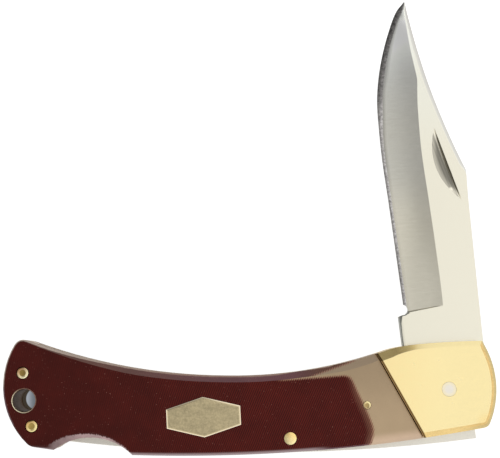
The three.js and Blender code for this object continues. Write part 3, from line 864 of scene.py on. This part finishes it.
def peened_pin(name, node, material, rim_drop_mm=0.3):
    """A pin whose head has a bright raised rim round a dished middle."""
    low, high, radius = round_size(node)
    points = [
        (0, high - 0.15 * MM, 0), (radius * 0.56, high - 0.14 * MM, 1), (radius * 0.7, high, 1),
        (radius * 0.76, high, 1), (radius, high - rim_drop_mm * MM, 1),
        (radius, low + 0.08 * MM, 1), (radius * 0.85, low, 1), (0, low, 0),
    ]
    piece = turned(name, rounded_profile(points, 0.12 * MM), centre_of(node))
    dress(piece, "handle", "brass", [material], node)


def pivot_pin():
    low, high, radius = round_size("pivot_pin")
    profile = [(0, high), (radius, high), (radius, low), (0, low)]
    piece = turned("pivot_axle", profile, centre_of("pivot_pin"))
    dress(piece, "handle", "steel", [pivot_steel], "pivot_pin")


def lanyard_tube():
    """The eye's lining, with its ends flared; the bore has a duller finish and a darker colour that paints
    the shade inside the eye.
    """
    low, high, outer = round_size("lanyard_tube")
    bore = outer - 0.26 * MM
    flare = 0.08 * MM
    points = [
        (outer, low, 1), (bore + flare, low, 1), (bore, low + 2 * flare, 1),
        (bore, high - 2 * flare, 1), (bore + flare, high, 1), (outer, high, 1),
    ]
    middle = centre_of("lanyard_tube")
    piece = turned("lanyard_eye_lining", rounded_profile(points, 0.06 * MM), middle, 96)
    dress(piece, "handle", "brass", [tube_brass, shaded_bore_brass], "lanyard_tube")
    for face in piece.data.polygons:
        inwards = (middle - face.center).dot(face.normal) > 0
        face.material_index = 1 if inwards and abs(face.normal.z) < 0.2 else 0


# Plates of the handle

def softened_plate(name, node, slot, materials, rounding_mm, keep_sharp=None, body="handle"):
    """A CAD plate with its sharp edges broken. Its slanting faces take the second material."""
    piece = node_copy(node, name)
    round_edges(piece, rounding_mm, keep_sharp)
    smooth(piece, 25)
    apply_modifier(piece, "WEIGHTED_NORMAL", weight=100, keep_sharp=True)
    dress(piece, body, slot, materials, node)
    if len(materials) > 1:
        for face in piece.data.polygons:
            slanting = 0.35 < abs(face.normal.z) < 0.93
            face.material_index = 1 if slanting else 0
    return piece


def on_joint(middle):
    """Whether a place in the mesh lies on the tight joint between scale and bolster."""
    start, end = (Vector(place) for place in joint_line)
    along = (end - start).normalized()
    return abs(along.cross(middle.xy / MM - start)) < 0.2


def scale(side):
    """A handle scale; only its upper bevel and the one near the bolster are polished, and their plum colour
    paints their sheen.
    """
    small_pin = centre_of(f"scale_pin_{side}").xy

    def tight(middle):
        return on_joint(middle) or (middle.xy - small_pin).length < 1.5 * MM

    piece = softened_plate(
        f"handle_scale_{side}", f"scale_{side}", "micarta", [burgundy, plum, plum_low], 0.12, tight)
    notch_front = -80 * MM
    notch_top = -9 * MM
    for face in piece.data.polygons:
        if face.material_index == 1 and face.center.y < 0:
            in_notch = face.center.x < notch_front and face.center.y < notch_top
            face.material_index = 0 if in_notch else 2


def bolster(side):
    """A brass bolster; its upper bevel is polished as finely as the face and takes the face's material,
    whose colour paints that bevel's reflection.
    """
    round_pivot = 2.5 * MM

    def tight(middle):
        return on_joint(middle) or middle.xy.length < round_pivot

    piece = softened_plate(
        f"brass_bolster_{side}", f"bolster_{side}", "brass", [brass, brass_bevel], 0.1, tight)
    for face in piece.data.polygons:
        if face.material_index == 1 and face.normal.y > 0.3:
            face.material_index = 0


def handle_pieces():
    for side in ("front", "back"):
        scale(side)
        bolster(side)
        softened_plate(f"brass_liner_{side}", f"liner_{side}", "brass", [liner_brass], 0.06)
        peened_pin(f"small_scale_pin_{side}", f"scale_pin_{side}", small_head, rim_drop_mm=0.08)
    softened_plate("spacer_block", "butt_spacer", "brass", [liner_brass], 0.08)
    softened_plate("leaf_spring", "back_spring", "spring_steel", [spring_steel], 0.08)
    softened_plate("bare_shield", "shield", "nickel_silver", [shield_face, shield_edge], 0.07)
    softened_plate("rocking_lockbar", "lockbar", "steel", [lockbar_steel], 0.1, body="lockbar")
    crowned_pin("lockbar_axle", "lockbar_pin", lockbar_head)
    peened_pin("upper_butt_rivet", "butt_pin_upper", upper_head)
    peened_pin("lower_butt_rivet", "butt_pin_lower", lower_head)
    pivot_pin()
    lanyard_tube()
    for name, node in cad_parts.items():
        if name.startswith("bolster_rivet"):
            node.material_slots[0].link = "OBJECT"
            node.material_slots[0].material = rivet_brass


# Blade

def clamp(value, low, high):
    return max(low, min(high, value))


def mix(a, b, t):
    return a + (b - a) * t


def eased(t):
    t = clamp(t, 0, 1)
    return t * t * (3 - 2 * t)


def curve_through(stops, share):
    """Height at a share of the length, on a smooth curve through the stops."""
    last = len(stops) - 2
    i = next((n for n in range(last + 1) if share <= stops[n + 1][0]), last)
    x0, y0 = stops[i]
    x1, y1 = stops[i + 1]

    def slope(n):
        low = stops[max(n - 1, 0)]
        high = stops[min(n + 1, len(stops) - 1)]
        return (high[1] - low[1]) / (high[0] - low[0])

    width = x1 - x0
    t = clamp((share - x0) / width, 0, 1)
    rise = (2 * t ** 3 - 3 * t ** 2 + 1) * y0 + (3 * t ** 2 - 2 * t ** 3) * y1
    return rise + width * ((t ** 3 - 2 * t ** 2 + t) * slope(i) + (t ** 3 - t ** 2) * slope(i + 1))


def ground_share(x):
    return (x - plunge_start) / (blade_reach - plunge_start)


def clip_centre():
    start = Vector((blade_reach - clip_length, -spine_drop - spine_swell))
    end = Vector((blade_reach, tip_rise))
    half = (end - start).length / 2
    along = (end - start).normalized()
    above = Vector((along.y, -along.x))
    return (start + end) / 2 + above * math.sqrt(clip_radius ** 2 - half ** 2)


def spine_at(x):
    clip_start = blade_reach - clip_length
    if x <= clip_start:
        swell = spine_swell * eased((x - clip_start + swell_run) / swell_run)
        return -mix(tang_drop, spine_drop, clamp((x - tang_join) / drop_run, 0, 1)) - swell
    centre = clip_centre()
    return centre.y + math.sqrt(clip_radius ** 2 - (x - centre.x) ** 2)


def outline_at(x):
    """The cutting edge, and before it the kick and the steep side down to the choil."""
    ricasso = [(tang_join - 0.2, kick_corner[1] - 0.4), kick_corner, choil_side]
    for (x0, y0), (x1, y1) in zip(ricasso, ricasso[1:]):
        if x <= x1:
            return mix(y0, y1, (x - x0) / (x1 - x0))
    return curve_through(edge_stops, ground_share(x)) * edge_drop


def lean_at(x, y):
    """How far the plunge line leans back towards the pivot at a height."""
    drop = clamp((y - lean_top) / lean_height, 0, 1.1)
    reach = 2 if x < plunge_start else 10
    nearness = 1 - clamp(abs(x - plunge_start) / reach, 0, 1)
    return plunge_lean * drop * nearness


def lower_edge_at(x):
    """The height at which a leaning section meets the outline."""
    height = kick_corner[1]
    for _ in range(12):
        height = outline_at(x - lean_at(x, height))
    return height


def chamfer_at(x):
    """Width of the tang's chamfer, measured towards the spine; it widens round the kick."""
    return mix(tang_chamfer, kick_chamfer, eased((x - kick_corner[0] + kick_lead) / kick_run))


def softly_least(a, b):
    """The smaller of two widths, without a kink where they cross."""
    return (a ** -8 + b ** -8) ** (-1 / 8)


flat_rows = 3
hollow_rows = 14
edge_rows = 2
row_kinds = ["swedge"] + ["flat"] * flat_rows + ["hollow"] * hollow_rows + ["edge"] * edge_rows
kind_slots = {"flat": 0, "hollow": 1, "edge": 2, "swedge": 3, "wall": 4, "nick": 5}


def blade_stations():
    """Places along the blade, close together at the plunge and at the tip."""
    stations = [tang_join - 0.3, 12, 15, 18, kick_corner[0], plunge_start - 0.9, plunge_start - 0.4]
    fillet_steps = 4
    stations += [plunge_start + plunge_fillet * s / fillet_steps for s in range(fillet_steps + 1)]
    start = stations[-1] + 0.5
    even_steps = 96
    tip_run = 6
    end = blade_reach - tip_blunting - tip_run
    stations += [mix(start, end, s / even_steps) for s in range(even_steps + 1)]
    tip_steps = 16
    stations += [end + tip_run * (1 - (1 - s / tip_steps) ** 1.6) for s in range(1, tip_steps + 1)]
    return stations


def blade_rows(x):
    """Heights and half thicknesses of one section, from the spine to the edge."""
    spine = spine_at(x)
    edge = lower_edge_at(x)
    width = edge - spine
    thin = math.sqrt(clamp((blade_reach - x) / tip_thinning, 0, 1))
    flat_half = blade_half * mix(tip_half_share, 1, thin)
    depth = 1 - (1 - clamp((x - plunge_start) / plunge_fillet, 0, 1)) ** 2
    bevel_width = mix(edge_width_heel, edge_width_tip, eased((ground_share(x) - edge_widening) / 0.16))
    bevel = mix(chamfer_at(x), min(bevel_width, edge_share * width), depth)
    highest = spine + least_share * width
    lowest = edge - bevel - least_share * width
    grind = clamp(curve_through(grind_stops, ground_share(x)), highest, max(highest, lowest))
    on_clip = eased((x - blade_reach + clip_length + swedge_lead) / swedge_run_in)
    wide = mix(swedge_width, swedge_width_tip, eased((x - swedge_widening) / 14))
    swedge = softly_least(mix(spine_chamfer, wide, on_clip), swedge_share * (grind - spine))
    spine_half = max(flat_half - swedge_slope * swedge, 0.35 * flat_half)
    behind = min(edge_shoulder_half, 0.4 * flat_half)
    rows = [(spine, spine_half)]
    rows += [(mix(spine + swedge, grind, r / flat_rows), flat_half) for r in range(flat_rows + 1)]
    for r in range(1, hollow_rows + 1):
        u = r / hollow_rows
        drop = 1 - hollowness * (1 - u) ** 2 - (1 - hollowness) * (1 - u)
        rows.append((mix(grind, edge - bevel, u), mix(flat_half, behind, drop * depth)))
    shoulder = rows[-1][1]
    ground_edge = mix(flat_half - chamfer_depth, cutting_half, depth)
    for r in range(1, edge_rows + 1):
        u = r / edge_rows
        rows.append((mix(edge - bevel, edge, u), mix(shoulder, ground_edge, u)))
    return rows


def ground_blade():
    """The ground part: a grid of sections laid out on one face, then closed by its other face."""
    stations = blade_stations()
    columns = len(stations) - 1
    rows = len(row_kinds)
    bpy.ops.mesh.primitive_grid_add(x_subdivisions=columns, y_subdivisions=rows, size=1)
    piece = new_piece("ground_blade")
    sections = [blade_rows(x) for x in stations]
    cells = {}
    for vertex in piece.data.vertices:
        column = round((vertex.co.x + 0.5) * columns)
        row = round((vertex.co.y + 0.5) * rows)
        cells[vertex.index] = (column, row)
        height, half = sections[column][row]
        x = stations[column]
        vertex.co = Vector((x - lean_at(x, height), height, -half)) * MM
    for finish in (flat_steel, hollow_steel, edge_steel, swedge_steel, stamped_steel, nick_steel):
        piece.data.materials.append(finish)
    for face in piece.data.polygons:
        column = min(cells[v][0] for v in face.vertices)
        row = min(cells[v][1] for v in face.vertices)
        kind = row_kinds[row]
        if stations[column] < plunge_start - 0.1:
            kind = {"hollow": "flat", "edge": "wall"}.get(kind, kind)
        face.material_index = kind_slots[kind]
    edit(piece, bpy.ops.mesh.extrude_region_move)
    for vertex in piece.data.vertices:
        if vertex.select:
            vertex.co.z = -vertex.co.z
    edit(piece, face_outwards)
    return piece


def tang():
    """The tang of the CAD blade, turned back to its own axes and cut off short of the plunge."""
    piece = node_copy("blade", "tang")
    piece.data.transform(Matrix.Rotation(-blade_turn, 4, "Z") @ Matrix.Translation((0, 0, -blade_plane)))

    def cut_off():
        bpy.ops.mesh.bisect(
            plane_co=(tang_join * MM, 0, 0), plane_no=(1, 0, 0), use_fill=True, clear_outer=True)

    edit(piece, cut_off)
    edit(piece, weld, join_flat_faces, face_outwards)
    return piece


def choil_cutter():
    """A round cutter that flares near both faces, which leaves a chamfer."""
    flared = choil_radius + chamfer_depth
    neck = blade_half - chamfer_depth
    tall = 3 * blade_half
    profile = [
        (0, tall), (flared, tall), (flared, blade_half), (choil_radius, neck),
        (choil_radius, -neck), (flared, -blade_half), (flared, -tall), (0, -tall),
    ]
    centre = Vector((*choil_place, 0)) * MM
    return turned("choil_cutter", [(radius * MM, height * MM) for radius, height in profile], centre)


def nick_cutter():
    """A shallow cone laid along the spine side, which leaves one steep straight wall."""
    radius = (nick_chord.length / 2) ** 2 / (2 * nick_depth)
    depth = 2 * nick_bulge
    bpy.ops.mesh.primitive_cone_add(
        vertices=720, radius1=radius * MM, radius2=(radius - 2 * nick_depth) * MM, depth=depth * MM)
    piece = new_piece("nick_cutter")
    middle = (nick_rear + nick_tip) / 2
    lay_down = Matrix.Rotation(math.radians(-90), 4, "X") @ Matrix.Translation((0, 0, depth / 2 * MM))
    turn = Matrix.Rotation(math.atan2(nick_chord.y, nick_chord.x), 4, "Z")
    lift = Matrix.Translation(Vector((middle.x, middle.y, blade_half + radius - nick_depth)) * MM)
    piece.data.transform(lift @ turn @ lay_down)
    return piece


def sort_blade_faces(piece):
    """Finds the upright walls and the nick, in the blade's own axes."""
    along = nick_chord.normalized()
    face_height = blade_half * MM
    margin = 0.2
    slack = 0.05
    for face in piece.data.polygons:
        place = Vector(face.center.xy) / MM - nick_rear
        across = along.x * place.y - along.y * place.x
        in_chord = -margin < place.dot(along) < nick_chord.length + margin
        sunk = 0 < face_height - face.center.z < nick_depth * MM
        from_choil = (Vector(face.center.xy) / MM - Vector(choil_place)).length
        at_choil = from_choil < choil_radius + chamfer_depth + slack and abs(face.normal.z) < 0.9
        if in_chord and -slack < across < nick_bulge and sunk:
            face.material_index = kind_slots["nick"]
        elif abs(face.normal.z) < 0.3 or at_choil:
            face.material_index = kind_slots["wall"]


def sharpen_borders(piece):
    """Keeps a crisp line wherever two finishes meet."""
    finishes = {}
    for face in piece.data.polygons:
        for key in face.edge_keys:
            finishes.setdefault(key, set()).add(face.material_index)
    for edge in piece.data.edges:
        if len(finishes[edge.key]) > 1:
            edge.use_edge_sharp = True


def blade():
    piece = ground_blade()
    boolean(piece, tang(), "UNION")
    boolean(piece, choil_cutter(), "DIFFERENCE")
    boolean(piece, nick_cutter(), "DIFFERENCE")
    edit(piece, weld)
    sort_blade_faces(piece)
    piece.data.transform(Matrix.Translation((0, 0, blade_plane)) @ Matrix.Rotation(blade_turn, 4, "Z"))
    smooth(piece, 14)
    sharpen_borders(piece)
    dress(piece, "blade", "steel", [], "blade")
    piece.name = "clip_point_blade"


# Light, floor and camera

def world_light():
    """A white room: overhead it is bright to the right and dimmer to the left, and one side is dark."""
    world = bpy.data.worlds.new("studio")
    bpy.context.scene.world = world
    world.use_nodes = True
    tree = world.node_tree
    x, y, z = axes(tree.nodes.new("ShaderNodeTexCoord").outputs["Generated"])
    overhead = between(x, -0.16, 0.15, 0.44, 1.05)
    dark_side = times(
        between(x, -0.08, 0.06, 1, 0), between(x, -0.8, -0.6), between(y, 0.3, 0.5),
        between(z, 0.4, 0.5, 0.79, 0.6), between(z, 0.66, 0.75, 1, 0))
    sides = minus(1, dark_side)
    strength = scaled(minus(overhead, sides), between(z, 0.6, 0.85), sides)
    feed(tree.nodes["Background"], {"Color": (1, 0.995, 0.985, 1), "Strength": strength})


def fill_lamp(place, size, irradiance):
    """A soft lamp that metal doesn't mirror, for the shadows and the dull surfaces."""
    light = bpy.data.lights.new("fill", "AREA")
    light.shape = "SQUARE"
    light.size = size
    distance = Vector(place).length
    light.energy = irradiance * math.pi * math.pi * distance ** 2
    lamp = bpy.data.objects.new("fill", light)
    bpy.context.collection.objects.link(lamp)
    lamp.location = place
    lamp.rotation_euler = Vector(place).to_track_quat("Z", "Y").to_euler()
    lamp.visible_glossy = False


def pale_floor():
    """A floor that shows white, except in the handle's own shade below the lanyard eye."""
    bpy.ops.mesh.primitive_plane_add(size=4, location=(0, 0, -0.3 * MM))
    floor = new_piece("floor")
    material, shader, position = new_material("floor")
    below_eye = between(distance_to(position, *eye_place), eye_reach, eye_reach + 0.4, 1, 0)
    from_light = distance_to(position, eye_place.x + 0.8, eye_place.y + 0.1)
    x = axes(position)[0]
    lit = fade(x, eye_place.x - 2.2, eye_place.x + 0.2, colour(174, 180, 188), colour(118, 124, 130))
    shaded = fade(from_light, 2.75, 3, lit, colour(66, 58, 48))
    path = material.node_tree.nodes.new("ShaderNodeLightPath").outputs
    seen = calc("MAXIMUM", path["Is Camera Ray"], path["Is Glossy Ray"])
    seen = calc("MAXIMUM", seen, path["Is Transmission Ray"])
    grey = (0.32, 0.32, 0.32, 1)
    dark = (0.02, 0.02, 0.02, 1)
    white = (1, 1, 1, 1)
    feed(shader, {
        "Base Color": mix_colours(below_eye, grey, dark),
        "Emission Color": mix_colours(below_eye, white, shaded),
        "Emission Strength": times(seen, 0.86), "Roughness": 1, "Specular IOR Level": 0})
    floor.data.materials.append(material)


def photo_camera():
    """The camera over the knife, turned so that the knife's long side lies level in the frame."""
    data = bpy.data.cameras.new("camera")
    data.lens = camera_lens
    data.clip_start = 0.01
    camera = bpy.data.objects.new("camera", data)
    bpy.context.collection.objects.link(camera)
    back = (camera_place - camera_aim).normalized()
    right = Vector((0, 1, 0)).cross(back).normalized()
    up = back.cross(right)
    camera.matrix_world = Matrix.Translation(camera_place) @ Matrix((right, up, back)).transposed().to_4x4()
    bpy.context.scene.camera = camera


handle_pieces()
blade()
world_light()
fill_lamp(place=(-0.12, 0.2, 0.7), size=0.5, irradiance=0.18)
pale_floor()
photo_camera()
bpy.context.scene.view_settings.view_transform = "Standard"
